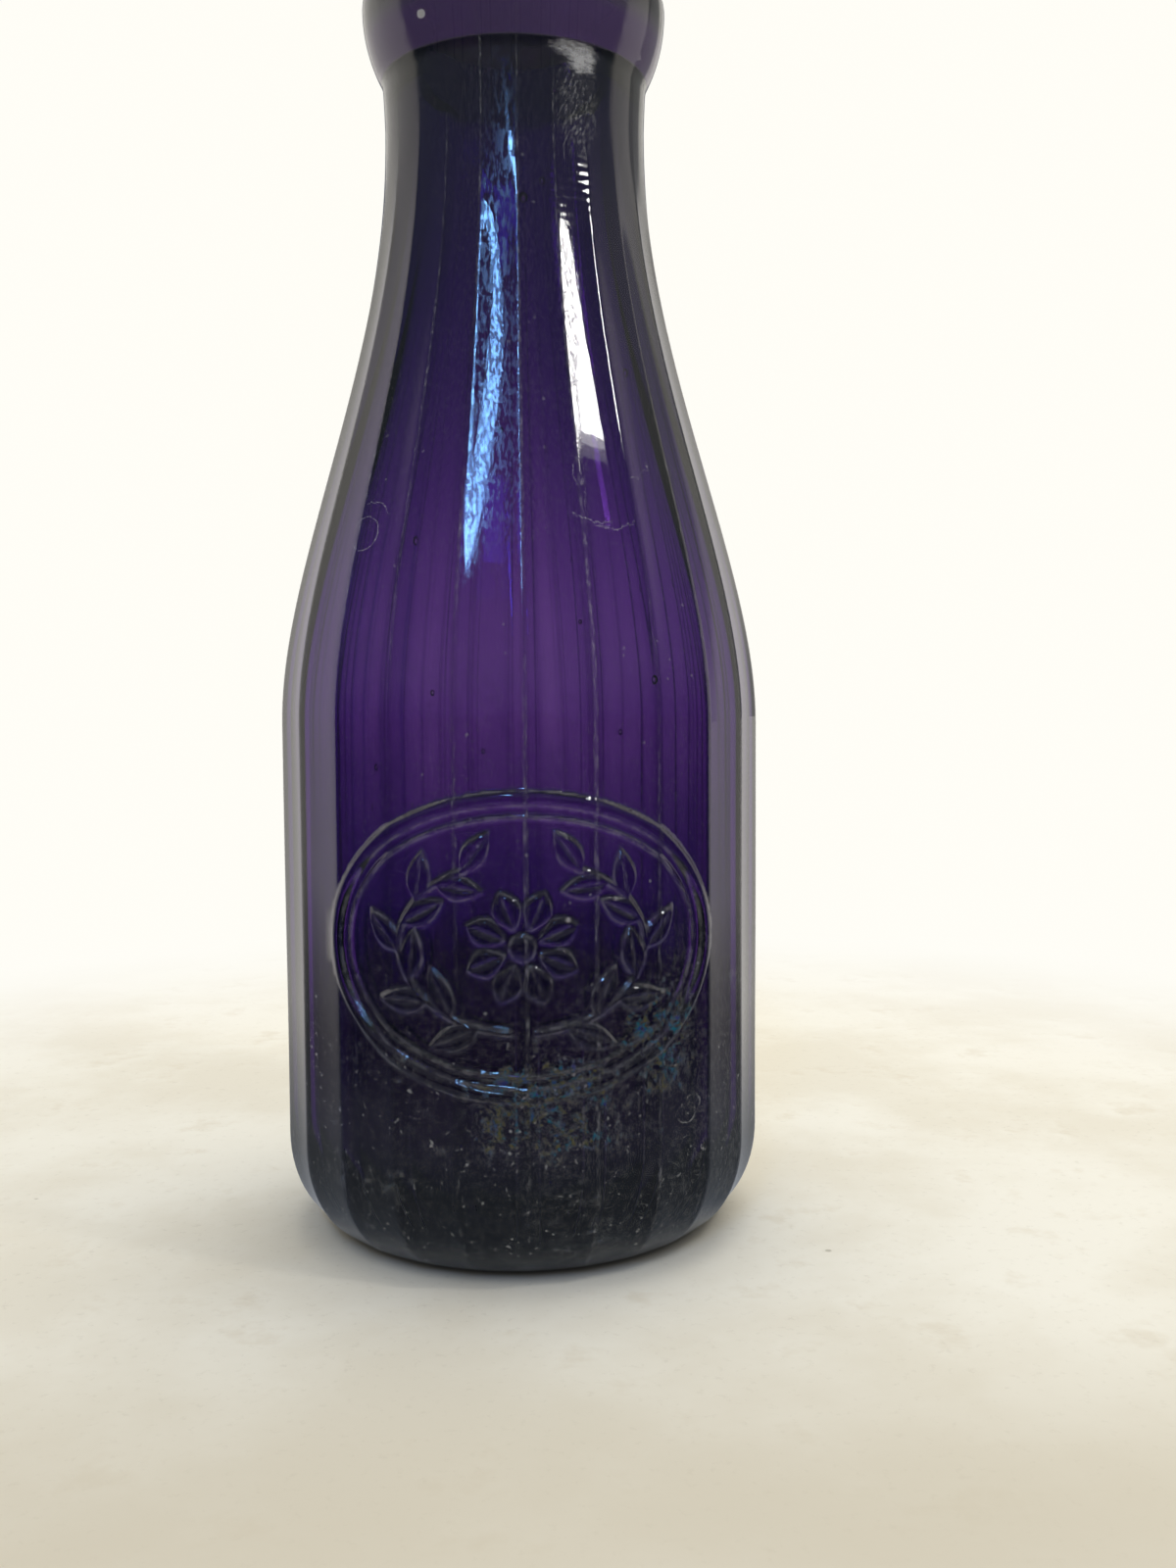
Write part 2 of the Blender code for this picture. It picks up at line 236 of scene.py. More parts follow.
def ease(share):
    """A smooth step from 0 to 1, for numbers and arrays."""
    share = np.clip(share, 0.0, 1.0)
    return share * share * (3 - 2 * share)


def arc(centre, radii, start, end, count):
    """Points of an elliptic arc in the (radius, height) plane, angles in degrees from +radius."""
    angles = np.radians(np.linspace(start, end, count + 1))
    return [(centre[0] + radii[0] * math.cos(a), centre[1] + radii[1] * math.sin(a)) for a in angles]


def shoulder_curve(body, neck, count):
    """The S-shaped rise from the body to the neck, upright where it meets each of them."""
    rise = neck[1] - body[1]
    low_handle = body[1] + SHOULDER_HANDLE_SHARE * rise
    high_handle = neck[1] - NECK_HANDLE_SHARE * rise
    heights = (body[1], low_handle, high_handle, neck[1])
    radii = (body[0], body[0], neck[0], neck[0])
    points = []
    for t in np.linspace(0.0, 1.0, count + 1):
        weights = ((1 - t) ** 3, 3 * t * (1 - t) ** 2, 3 * t * t * (1 - t), t ** 3)
        points.append((float(np.dot(weights, radii)), float(np.dot(weights, heights))))
    return points


def outer_path():
    """Section of the outside, from the middle of the base up to the inner edge of the rim."""
    bearing = BODY_RADIUS - HEEL_WIDTH
    dome_radius = bearing - BEARING_WIDTH
    dome = arc((0, 0), (dome_radius, PUSH_UP), 90, 0, 8)
    dome[0] = (0.0, PUSH_UP)
    ring = [(dome_radius + BEARING_WIDTH / 2, 0.0)]
    heel = arc((bearing, HEEL_HEIGHT), (HEEL_WIDTH, HEEL_HEIGHT), -90, 0, 18)
    low = [(BODY_RADIUS, z) for z in np.arange(*LOW_ROWS)]
    relief = [(BODY_RADIUS, z) for z in np.arange(*RELIEF_ROWS)]
    high = [(BODY_RADIUS, z) for z in HIGH_ROWS]
    shoulder = shoulder_curve((BODY_RADIUS, SHOULDER_HEIGHT), (NECK_RADIUS, WAIST_HEIGHT), 44)
    neck = [(NECK_RADIUS + 0.00012, 0.2185), (NECK_RADIUS + 0.00026, 0.2215)]
    neck.append((CREASE_RADIUS, CREASE_HEIGHT - 0.0003))
    lip_radius = CREASE_RADIUS + BEAD_OVERHANG
    widest = BOTTLE_HEIGHT - BEAD_TOP_ROUND
    swing = 2 * math.atan2(BEAD_OVERHANG, widest - CREASE_HEIGHT)
    flank_radius = (widest - CREASE_HEIGHT) / math.sin(swing)
    flank_centre = (lip_radius - flank_radius, widest)
    flank = arc(flank_centre, (flank_radius, flank_radius), -math.degrees(swing), 0, 16)
    flank[0] = (CREASE_RADIUS + 0.00025, CREASE_HEIGHT + 0.0002)
    top = arc((lip_radius - BEAD_TOP_ROUND, widest), (BEAD_TOP_ROUND, BEAD_TOP_ROUND), 0, 90, 8)
    return dome + ring + heel + low + relief + high + shoulder + neck + flank + top[1:]


def inner_path():
    """Section of the inside, from the rim down to the middle of the floor."""
    rim_centre = (SEAT_RADIUS + RIM_INNER_ROUND, BOTTLE_HEIGHT - RIM_INNER_ROUND)
    rim = arc(rim_centre, (RIM_INNER_ROUND, RIM_INNER_ROUND), 90, 180, 5)
    seat = [(SEAT_RADIUS, SEAT_HEIGHT + 0.0002), (SEAT_RADIUS - 0.0002, SEAT_HEIGHT)]
    ledge = [(THROAT_RADIUS + 0.0004, SEAT_HEIGHT), (THROAT_RADIUS, SEAT_HEIGHT - 0.0004)]
    throat = [(THROAT_RADIUS, z) for z in THROAT_ROWS]
    wall = BODY_RADIUS - BODY_WALL
    shoulder = shoulder_curve((wall, SHOULDER_HEIGHT), (THROAT_RADIUS, WAIST_HEIGHT), 30)[::-1]
    body = [(wall, z) for z in np.arange(*WALL_ROWS)]
    heel_low = FLOOR_HEIGHT - FLOOR_RISE
    heel_centre = (wall - CAVITY_HEEL_WIDTH, heel_low + CAVITY_HEEL_HEIGHT)
    heel = arc(heel_centre, (CAVITY_HEEL_WIDTH, CAVITY_HEEL_HEIGHT), 0, -90, 12)
    floor = [(0.020, FLOOR_HEIGHT - 0.0010), (0.011, FLOOR_HEIGHT - 0.0003), (0.0, FLOOR_HEIGHT)]
    return rim + seat + ledge + throat + shoulder + body + heel + floor


def column_angles():
    """Angles of the mesh's columns: dense over the raised work on the front, sparser behind."""
    angles = []
    for panel in range(PANEL_COUNT):
        start = panel * PITCH + PANEL_TURN
        off_front = math.remainder(start + PITCH / 2 - FRONT, 2 * math.pi)
        if abs(off_front) < RELIEF_REACH:
            shares = np.arange(RELIEF_COLUMNS) / RELIEF_COLUMNS
        else:
            shares = PLAIN_COLUMNS
        angles.extend(start + PITCH * shares)
    return np.array(angles)


def panel_factor(angles):
    """How far in the pressed panels lie at each angle, as a share of the ridge's radius."""
    along = np.mod(angles - PANEL_TURN, PITCH)
    near = np.cos(along - PITCH / 2)
    far = np.cos(np.minimum(along, PITCH - along) + PITCH / 2)
    spread = near - far
    return math.cos(PITCH / 2) / ((near + far + np.sqrt(spread ** 2 + RIDGE_SOFTNESS ** 2)) / 2)


def wave(angles, heights, seed, swings, lifts):
    """A smooth ripple of about unit size over the glass, from a few sines, alike on every run."""
    draw = np.random.default_rng(seed)
    total = np.zeros(np.broadcast(angles, heights).shape)
    for _ in range(9):
        turns = draw.integers(swings[0], swings[1])
        lift = draw.uniform(lifts[0], lifts[1])
        phase = draw.uniform(0, 2 * math.pi)
        total += np.sin(turns * angles + lift * heights + phase)
    return total / 3


def glass_grid():
    """Places of the glass mesh's grid: rows along the section, columns round the axis."""
    outer = np.array(outer_path())
    inner = np.array(inner_path())
    angles = column_angles()[None, :]
    across = outer[:, :1]
    up = outer[:, 1:]
    bearing = BODY_RADIUS - HEEL_WIDTH
    depth = ease((WAIST_HEIGHT - up) / PANEL_NECK_EASE) * ease(up / PANEL_HEEL_EASE)
    depth = depth * ((across > bearing) | (up > SHOULDER_HEIGHT))
    share = np.mod(angles - PANEL_TURN, PITCH) / PITCH * 2 - 1
    hollow = PANEL_HOLLOW * across / BODY_RADIUS * (1 - share ** 2)
    radius = across * (1 + (panel_factor(angles) - 1) * depth) - hollow * depth
    radius = radius - GLASS_RIPPLE * depth * (1 + wave(angles, up, *RIPPLE_WAVES))
    radius, raised = add_relief(radius, angles, up)
    inside = inner[:, :1] + 0 * angles
    inside_up = inner[:, 1:]
    thin = ease((WAIST_HEIGHT + 0.01 - inside_up) / 0.03) * ease((inside_up - 0.012) / 0.02)
    panels = np.cos((angles - PANEL_TURN) / PITCH * 2 * math.pi)
    swell = wave(angles, inside_up, *INNER_WAVES) + 0.5 * panels
    inside = inside + INNER_WAVE * thin * swell
    radius = np.vstack([radius, inside])
    height = np.vstack([up + 0 * angles, inside_up + 0 * angles])
    raised = np.vstack([raised, np.zeros(inside.shape)])
    side = np.concatenate([np.zeros(len(outer)), ease((SEAT_HEIGHT - inner[:, 1] + 0.002) / 0.002)])
    side = side[:, None] + 0 * angles
    return radius, height, angles[0], side, raised


# Raised work: an oval frame round a wreath and a flower


def path_distance(across, up, points):
    """Distance from every place to a path of straight runs, in metres."""
    nearest = np.full(across.shape, np.inf)
    for (ax, ay), (bx, by) in zip(points[:-1], points[1:]):
        run_x, run_y = bx - ax, by - ay
        length = run_x ** 2 + run_y ** 2
        share = np.clip(((across - ax) * run_x + (up - ay) * run_y) / length, 0, 1)
        gap = np.hypot(across - ax - share * run_x, up - ay - share * run_y)
        nearest = np.minimum(nearest, gap)
    return nearest


def leaf_form(across, up, root, turn, length, width, fullness):
    """Height, from 0 to 1, of a rounded leaf with a sunk midrib, rooted at a place and turned."""
    cos, sin = math.cos(turn), math.sin(turn)
    along = (across - root[0]) * cos + (up - root[1]) * sin
    aside = -(across - root[0]) * sin + (up - root[1]) * cos
    share = along / length
    half = width / 2 * np.sin(np.pi * np.clip(share, 0, 1) ** fullness)
    form = ease((half - np.abs(aside)) / 0.0008)
    rib = 0.50 * ease(1 - np.abs(aside) / 0.0006) * ease(share * 6) * ease((1 - share) * 4)
    return np.where((share > 0) & (share < 1), form * (1 - rib), 0.0)


def add_relief(radius, angles, up):
    """Raise the oval frame, the wreath and the flower from the panels of the front."""
    off = np.remainder(angles - FRONT + math.pi, 2 * math.pi) - math.pi
    across = off * BODY_RADIUS + 0 * up
    rise = up - FRAME_CENTRE_HEIGHT + 0 * angles
    zone = (np.abs(across) < 0.045) & (np.abs(rise) < 0.030)
    x, y = across[zone], rise[zone]
    turns = np.linspace(0, 2 * math.pi, 145)
    oval = [(FRAME_WIDTH / 2 * math.cos(t), FRAME_HEIGHT / 2 * math.sin(t)) for t in turns]
    form = np.sqrt(np.clip(1 - (path_distance(x, y, oval) / BEAD_RADIUS) ** 2, 0, 1))
    thin = [(INNER_OVAL[0] * px, INNER_OVAL[1] * py) for px, py in oval]
    form = np.maximum(form, 0.55 * ease(1 - path_distance(x, y, thin) / OVAL_LINE))
    for side in (-1, 1):
        stem = []
        for t in np.linspace(*STEM_ENDS, 25):
            stem.append((side * WREATH[0] * math.cos(t), WREATH[1] * math.sin(t)))
        form = np.maximum(form, 0.75 * ease(1 - path_distance(x, y, stem) / STEM_LINE))
        for i, t in enumerate(LEAF_PLACES):
            root = (side * WREATH[0] * math.cos(t), WREATH[1] * math.sin(t))
            heading = math.atan2(WREATH[1] * math.cos(t), -side * WREATH[0] * math.sin(t))
            heading += side * LEAF_LEANS[i % 2]
            length = LEAF_LENGTH - LEAF_SHORTENING * i
            leaf = leaf_form(x, y, root, heading, length, LEAF_WIDTH, 0.8)
            form = np.maximum(form, 0.95 * leaf)
    for k in range(PETAL_COUNT):
        turn = (k + 0.5) * 2 * math.pi / PETAL_COUNT
        root = (FLOWER_HEART * math.cos(turn), FLOWER_HEART * math.sin(turn))
        form = np.maximum(form, 0.95 * leaf_form(x, y, root, turn, *PETAL_SIZE, 1.15))
    centre = np.hypot(x, y)
    form = np.where(centre < FLOWER_HEART + 0.0010, form * ease((centre - FLOWER_HEART) / 0.0008), form)
    form = np.maximum(form, np.sqrt(np.clip(1 - (centre / FLOWER_HEART) ** 2, 0, 1)))
    raised = np.zeros(across.shape)
    raised[zone] = form
    target = BODY_RADIUS + FRAME_RELIEF
    return radius + (target - radius) * raised, raised


def add_bubble(places, faces, turn, height, radius, size, stretch):
    """Add a bubble to the mesh's lists: a closed hollow in the wall, drawn out along the bottle."""
    work = bmesh.new()
    bmesh.ops.create_icosphere(work, subdivisions=2, radius=size)
    angle = math.radians(turn)
    centre = Vector((radius * math.sin(angle), -radius * math.cos(angle), height))
    first = len(places)
    for vertex in work.verts:
        place = vertex.co
        places.append([centre.x + place.x, centre.y + place.y, centre.z + place.z * stretch])
    for face in work.faces:
        faces.append([first + vertex.index for vertex in reversed(face.verts)])
    work.free()


def glass_mesh():
    """The bottle's glass as one closed mesh, with a few bubbles inside its wall."""
    radius, height, angles, side, raised = glass_grid()
    rows, columns = radius.shape
    x = radius * np.cos(angles)
    y = radius * np.sin(angles)
    grid = np.stack([x, y, height], axis=-1)[1:-1].reshape(-1, 3)
    ends = np.array([[0, 0, height[0, 0]], [0, 0, height[-1, 0]]])
    places = np.vstack([grid, ends])
    inner_rows = rows - 2
    index = np.arange(inner_rows * columns).reshape(inner_rows, columns)
    low = index[:-1]
    high = index[1:]
    quads = np.stack([low, np.roll(low, -1, 1), np.roll(high, -1, 1), high], axis=-1).reshape(-1, 4)
    faces = quads.tolist()
    base = inner_rows * columns
    for j in range(columns):
        k = (j + 1) % columns
        faces.append([base, int(index[0, k]), int(index[0, j])])
        faces.append([base + 1, int(index[-1, j]), int(index[-1, k])])
    places = places.tolist()
    inside_tags = side[1:-1].ravel().tolist() + [0.0, 1.0]
    raised_tags = raised[1:-1].ravel().tolist() + [0.0, 0.0]
    for bubble in BUBBLES:
        add_bubble(places, faces, *bubble)
    spare = [0.5] * (len(places) - len(inside_tags))
    tags = {"inside": inside_tags + spare, "raised": raised_tags + [0.0] * len(spare)}
    mesh = bpy.data.meshes.new("glass")
    mesh.from_pydata(places, [], faces)
    for name, values in tags.items():
        mesh.attributes.new(name, "FLOAT", "POINT").data.foreach_set("value", values)
    mesh.shade_smooth()
    return mesh


# Node helpers


class Tree:
    """Short calls for building one material's or world's nodes."""

    def __init__(self, owner):
        owner.use_nodes = True
        self.tree = owner.node_tree
        self.tree.nodes.clear()

    def link(self, source, socket):
        """Join another node's output to a socket, or set the socket's own value."""
        if hasattr(source, "is_output"):
            self.tree.links.new(source, socket)
        elif isinstance(source, (tuple, list)) and len(source) == 3 and socket.type == "RGBA":
            socket.default_value = (*source, 1.0)
        else:
            socket.default_value = source

    def node(self, kind, inputs=(), out=0, **settings):
        """Add a node with its settings and inputs, and give one of its outputs."""
        made = self.tree.nodes.new(kind)
        for key, value in settings.items():
            setattr(made, key, value)
        for key, value in dict(inputs).items():
            self.link(value, made.inputs[key])
        return made.outputs[out]

    def math(self, operation, *values):
        return self.node("ShaderNodeMath", dict(enumerate(values)), operation=operation)

    def add(self, a, b):
        return self.math("ADD", a, b)

    def sub(self, a, b):
        return self.math("SUBTRACT", a, b)

    def mul(self, a, b):
        return self.math("MULTIPLY", a, b)

    def size(self, value):
        return self.math("ABSOLUTE", value)

    def root(self, a, b):
        """The length of the diagonal of a and b."""
        return self.math("SQRT", self.add(self.mul(a, a), self.mul(b, b)))

    def most(self, first, *others):
        """The largest of some values."""
        for other in others:
            first = self.math("MAXIMUM", first, other)
        return first

    def vector(self, operation, *values, out=0):
        return self.node("ShaderNodeVectorMath", dict(enumerate(values)), out=out, operation=operation)

    def step(self, value, low, high, start=0.0, end=1.0):
        """A smooth step of a value, from start at low to end at high."""
        inputs = {"Value": value, "From Min": low, "From Max": high, "To Min": start, "To Max": end}
        return self.node("ShaderNodeMapRange", inputs, interpolation_type="SMOOTHSTEP")

    def noise(self, place, scale, detail=2.0, rough=0.5, distortion=0.0):
        inputs = {"Vector": place, "Scale": scale, "Detail": detail, "Roughness": rough}
        inputs["Distortion"] = distortion
        return self.node("ShaderNodeTexNoise", inputs)

    def cells(self, place, scale):
        """Distance to the nearest of some scattered points, as a share of their spacing."""
        return self.node("ShaderNodeTexVoronoi", {"Vector": place, "Scale": scale}, out="Distance")

    def stretch(self, place, scale):
        return self.vector("MULTIPLY", place, scale)

    def sheared(self, place, lean):
        """The place sheared sideways with height, so that a pattern on it leans."""
        x, y, z = self.split(place)
        made = self.tree.nodes.new("ShaderNodeCombineXYZ")
        self.link(self.add(x, self.mul(z, lean)), made.inputs[0])
        self.link(y, made.inputs[1])
        self.link(z, made.inputs[2])
        return made.outputs[0]

    def mix(self, share, a, b):
        """A colour between a and b."""
        made = self.tree.nodes.new("ShaderNodeMix")
        made.data_type = "RGBA"
        self.link(share, made.inputs[0])
        self.link(a, made.inputs[6])
        self.link(b, made.inputs[7])
        return made.outputs[2]

    def blend(self, share, a, b):
        """A number between a and b."""
        made = self.tree.nodes.new("ShaderNodeMix")
        self.link(share, made.inputs[0])
        self.link(a, made.inputs[2])
        self.link(b, made.inputs[3])
        return made.outputs[0]

    def ramp(self, value, stops):
        """A colour for a value, from stops of place and colour."""
        made = self.tree.nodes.new("ShaderNodeValToRGB")
        points = made.color_ramp.elements
        while len(points) < len(stops):
            points.new(0.5)
        for point, (place, colour) in zip(points, stops):
            point.position = place
            point.color = (*colour, 1.0)
        self.link(value, made.inputs[0])
        return made.outputs[0]

    def place(self):
        return self.node("ShaderNodeTexCoord", out="Object")

    def tag(self, name):
        return self.node("ShaderNodeAttribute", out="Fac", attribute_name=name)

    def split(self, vector):
        made = self.tree.nodes.new("ShaderNodeSeparateXYZ")
        self.link(vector, made.inputs[0])
        return made.outputs

    def bump(self, height, distance, strength=1.0, normal=None):
        inputs = {"Height": height, "Distance": distance, "Strength": strength}
        if normal:
            inputs["Normal"] = normal
        return self.node("ShaderNodeBump", inputs)

    def surface(self, inputs, volume=None):
        """The material's shader, from its inputs by name."""
        made = self.tree.nodes.new("ShaderNodeBsdfPrincipled")
        for key, value in inputs.items():
            self.link(value, made.inputs[key])
        output = self.tree.nodes.new("ShaderNodeOutputMaterial")
        self.tree.links.new(made.outputs[0], output.inputs["Surface"])
        if volume:
            self.tree.links.new(volume, output.inputs["Volume"])


# Materials


class GlassPaint:
    """Masks over the glass, from 0 to 1 and built as nodes: where stain, film, dirt and wear lie, and
    where shade and light are painted.
    """

    def __init__(self, t):
        self.t = t
        self.place = t.place()
        self.x, self.y, self.z = t.split(self.place)
        self.inside = t.tag("inside")
        self.outside = t.sub(1.0, self.inside)
        self.raised = t.tag("raised")
        self.turn = t.math("ARCTAN2", self.y, self.x)
        self.ridge = t.math("PINGPONG", t.mul(t.sub(self.turn, PANEL_TURN), 1 / PITCH), 0.5)
        self.mottle = t.noise(self.place, 70.0, 4.0, 0.62)
        self.fine = t.noise(self.place, 420.0, 4.0, 0.70)
        self.drawn = t.noise(t.stretch(self.place, (60.0, 60.0, 9.0)), 1.0, 2.0)

    def off(self, angle):
        """The angle round the axis from a place given in degrees from the front."""
        return self.t.sub(self.turn, math.radians(angle) + FRONT)

    def spot(self, angle, height, half_width, half_height):
        """A soft spot on the glass, at an angle from the front and a height."""
        t = self.t
        across = t.mul(self.off(angle), SPOT_RADIUS / half_width)
        up = t.mul(t.sub(self.z, height), 1 / half_height)
        return t.step(t.root(across, up), 1.0, 0.35)

    def curl(self, wobble, angle, height, radius, start, end, width):
        """A thin curved scratch: part of a rough circle, its ends in degrees from the right."""
        t = self.t
        across = t.mul(self.off(angle), SCRATCH_RADIUS)
        up = t.sub(self.z, height)
        gap = t.add(t.root(across, up), t.mul(wobble, radius))
        line = t.step(t.size(t.sub(gap, radius)), width, width * 0.4)
        bearing = t.math("ARCTAN2", up, across)
        middle = math.radians((start + end) / 2)
        half = math.radians((end - start) / 2)
        off = t.size(t.math("WRAP", t.sub(bearing, middle), math.pi, -math.pi))
        return t.mul(line, t.step(off, half, half * 0.7))

    def lower_darkening_and_stain(self):
        """Inside: darker over the lower half, and a dense stain near the floor."""
        t = self.t
        shaky = t.add(self.z, t.mul(t.sub(self.mottle, 0.5), 0.034))
        lower_darkening = t.mul(t.step(shaky, 0.142, 0.052), self.inside)
        stain = t.mul(t.step(shaky, 0.062, 0.042), self.inside)
        return lower_darkening, stain

    def lines(self):
        """Drawn lines inside, beside each ridge, and painted shade: dark lines on the ridges at the
        right.
        """
        t = self.t
        seam = t.step(t.size(t.sub(self.ridge, 0.155)), 0.022, 0.006)
        seam = t.mul(t.mul(seam, self.inside), t.step(self.drawn, 0.38, 0.62, 0.15, 0.85))
        # Painted shade: dark lines on the ridges, only at the right side.
        edge = t.mul(t.step(self.ridge, 0.085, 0.030), t.step(self.x, 0.020, 0.030, 0.25, 0.95))
        edge = t.mul(t.mul(edge, self.outside), t.step(self.fine, 0.30, 0.55, 0.6, 1.0))
        return seam, edge

    def films(self):
        """Outside: a thin haze low down and on the neck, and flecks of coloured film."""
        t = self.t
        dust = t.noise(self.place, 950.0, 4.0, 0.80)
        rightward = t.step(self.x, -0.012, 0.034, 0.30, 1.0)
        haze = t.mul(t.mul(t.step(self.z, 0.074, 0.044), t.step(dust, 0.47, 0.70)), rightward)
        haze = t.mul(haze, t.step(self.mottle, 0.33, 0.62, 0.30, 1.0))
        haze = t.mul(t.most(haze, t.step(self.z, 0.165, 0.215, 0.0, 0.05)), self.outside)
        zone = t.most(*[self.spot(*place) for place in FILM_PLACES])
        zone = t.add(t.mul(zone, 0.8), t.mul(t.sub(t.noise(self.place, 130.0, 3.0, 0.65), 0.5), 2.4))
        flecks = t.step(t.noise(self.place, 560.0, 4.0, 0.80), 0.49, 0.58)
        flecks = t.mul(flecks, t.step(zone, 0.20, 0.80, 0.05, 1.0))
        flecks = t.mul(t.mul(flecks, t.step(self.z, 0.070, 0.050)), self.outside)
        return haze, flecks

    def rubbed_and_painted_highlight(self):
        """A painted highlight under the lip at the right, laid on as a pale matt scuff with wisps
        hanging below it, and a chip on the lip.
        """
        t = self.t
        fibres = t.noise(t.stretch(self.place, (500.0, 500.0, 1700.0)), 1.0, 4.0, 0.8)
        # The patch under the lip and the wisps below it are a painted highlight, laid on as a pale matt
        # scuff.
        upper = self.spot(29.0, 0.2209, 0.0060, 0.0042)
        wide = self.spot(25.5, 0.2222, 0.0100, 0.0024)
        patch = t.most(upper, t.mul(wide, 0.8))
        patch = t.add(t.mul(patch, 0.9), t.mul(t.sub(fibres, 0.5), 1.7))
        patch = t.step(patch, 0.22, 1.15, 0.0, 0.80)
        leaning = t.stretch(t.sheared(self.place, -0.45), (2000.0, 2000.0, 800.0))
        hairs = t.step(t.noise(leaning, 1.0, 3.0, 0.75), 0.48, 0.66)
        lower = t.mul(self.spot(27.0, 0.2130, 0.0080, 0.0130), t.add(t.mul(hairs, 0.22), 0.03))
        torn = t.mul(t.step(self.fine, 0.30, 0.56), 1.5)
        chip = t.mul(self.spot(-37.0, 0.2285, 0.0016, 0.0010), torn)
        return t.math("MINIMUM", t.most(patch, lower, chip), 1.0)

    def worn(self):
        """Wear in short runs along the ridges, and the curved scratches."""
        t = self.t
        along = t.noise(t.stretch(self.place, (1500.0, 1500.0, 420.0)), 1.0, 3.0, 0.75)
        worn = t.mul(t.step(self.ridge, 0.050, 0.010), t.step(along, 0.46, 0.72, 0.10, 0.90))
        worn = t.mul(worn, t.step(self.drawn, 0.42, 0.62, 0.03, 0.42))
        wobble = t.mul(t.sub(self.fine, 0.5), 0.45)
        broken = t.step(along, 0.35, 0.65, 0.10, 0.50)
        for scratch in SCRATCHES:
            worn = t.most(worn, t.mul(self.curl(wobble, *scratch), broken))
        return worn

    def dots(self):
        """Specks of dirt, denser low down, with crumbs and a crust on the lowest ridges."""
        t = self.t
        grain = t.noise(self.place, 1500.0, 2.0, 0.7)
        dots = t.step(t.add(t.cells(self.place, 260.0), t.mul(t.sub(grain, 0.5), 0.10)), 0.10, 0.05)
        dots = t.mul(dots, t.step(self.mottle, 0.47, 0.58))
        dots = t.mul(dots, t.step(self.z, 0.12, 0.03, 0.15, 0.50))
        crumbs = t.step(t.noise(self.place, 900.0, 3.0, 0.60), 0.64, 0.71)
        crumbs = t.mul(crumbs, t.step(self.z, 0.055, 0.035, 0.0, 0.45))
        crust = t.noise(t.stretch(self.place, (800.0, 800.0, 260.0)), 1.0, 3.0, 0.65)
        crust = t.mul(t.step(crust, 0.52, 0.64), t.step(self.ridge, 0.060, 0.012))
        crust = t.mul(crust, t.step(self.z, 0.036, 0.020, 0.0, 0.15))
        return t.most(dots, crumbs, crust)

    def specks_and_painted_light(self):
        """All that is pale and matt outside: worn places, dots, a painted highlight under the lip, and
        the relief's edges, partly worn and partly painted light.
        """
        t = self.t
        # The relief's edges: partly wear on the raised glass, partly painted light for the light its
        # rounded strokes catch.
        rim = t.mul(t.step(self.raised, 0.05, 0.30), t.step(self.raised, 0.80, 0.45))
        rim = t.mul(rim, t.step(self.fine, 0.38, 0.62, 0.03, 0.17))
        return t.mul(t.most(self.worn(), self.rubbed_and_painted_highlight(), self.dots(), rim), self.outside)

    def lip(self):
        """The lower part of the lip, painted a lighter violet that stands in for light passing through
        the thick glass.
        """
        t = self.t
        lip = t.step(self.z, CREASE_HEIGHT - 0.0002, CREASE_HEIGHT + 0.0004)
        return t.mul(t.mul(lip, self.outside), t.step(self.z, 0.2350, 0.2295, 0.10, 1.0))

    def lint(self):
        """A faint even dust outside."""
        t = self.t
        lint = t.step(t.noise(self.place, 1300.0, 4.0, 0.75), 0.46, 0.74)
        return t.mul(t.mul(lint, t.step(self.mottle, 0.35, 0.65, 0.35, 1.0)), self.outside)

    def seeds(self):
        """Small dark seeds in the wall, drawn out along the bottle."""
        t = self.t
        seeds = t.step(t.cells(t.stretch(self.place, (1.0, 1.0, 0.45)), 170.0), 0.060, 0.030)
        return t.mul(t.mul(seeds, t.step(self.drawn, 0.50, 0.58)), self.inside)

    def left_ridge_shade(self):
        """Painted shade: bluer, darker bands along the ridges at the left, and over the far left edge.
        """
        t = self.t
        # Painted shade along the ridges at the left, and over the far left edge.
        left_shade = t.mul(t.step(self.ridge, 0.20, 0.05), t.step(self.x, -0.022, -0.028))
        left_shade = t.most(left_shade, t.step(self.x, -0.0265, -0.0300, 0.0, 0.3))
        return t.mul(t.mul(left_shade, self.outside), t.step(self.z, 0.165, 0.130))

    def brushing(self):
        """Fine upright brush marks, and how strongly they show on the shoulder and neck."""
        t = self.t
        marks = t.noise(t.stretch(self.place, (1.0, 1.0, 0.27)), 1600.0, 2.0, 0.65)
        left = t.size(self.off(-8))
        share = t.step(left, math.radians(24), math.radians(10), 0.35, 1.0)
        share = t.mul(share, t.step(self.drawn, 0.35, 0.65, 0.45, 1.0))
        share = t.mul(share, t.step(left, math.radians(50), math.radians(36), 0.0, 1.0))
        right = t.step(t.size(self.off(19)), math.radians(11), math.radians(5))
        right = t.mul(right, t.step(self.drawn, 0.38, 0.58, 0.15, 0.9))
        right = t.mul(right, t.step(self.z, 0.183, 0.200, 1.0, 0.20))
        share = t.mul(t.most(share, right), t.step(self.z, 0.116, 0.142, 0.06, 1.0))
        return marks, share

    def normal(self, marks, share):
        """The surface's fine forms: slow ripples, ribs high on the shoulder, and brush marks."""
        t = self.t
        ripple = t.bump(t.noise(t.stretch(self.place, (1.0, 1.0, 0.30)), 120.0, 1.0), 0.00002)
        ribs = t.math("SINE", t.add(t.mul(self.z, 2 * math.pi / RIB_SPACING), t.mul(self.mottle, 3.0)))
        ribs = t.mul(ribs, self.spot(23.5, 0.1970, 0.0080, 0.0080))
        ripple = t.bump(ribs, 0.000012, 1.0, ripple)
        return t.bump(t.mul(marks, share), 0.000008, 1.0, ripple)


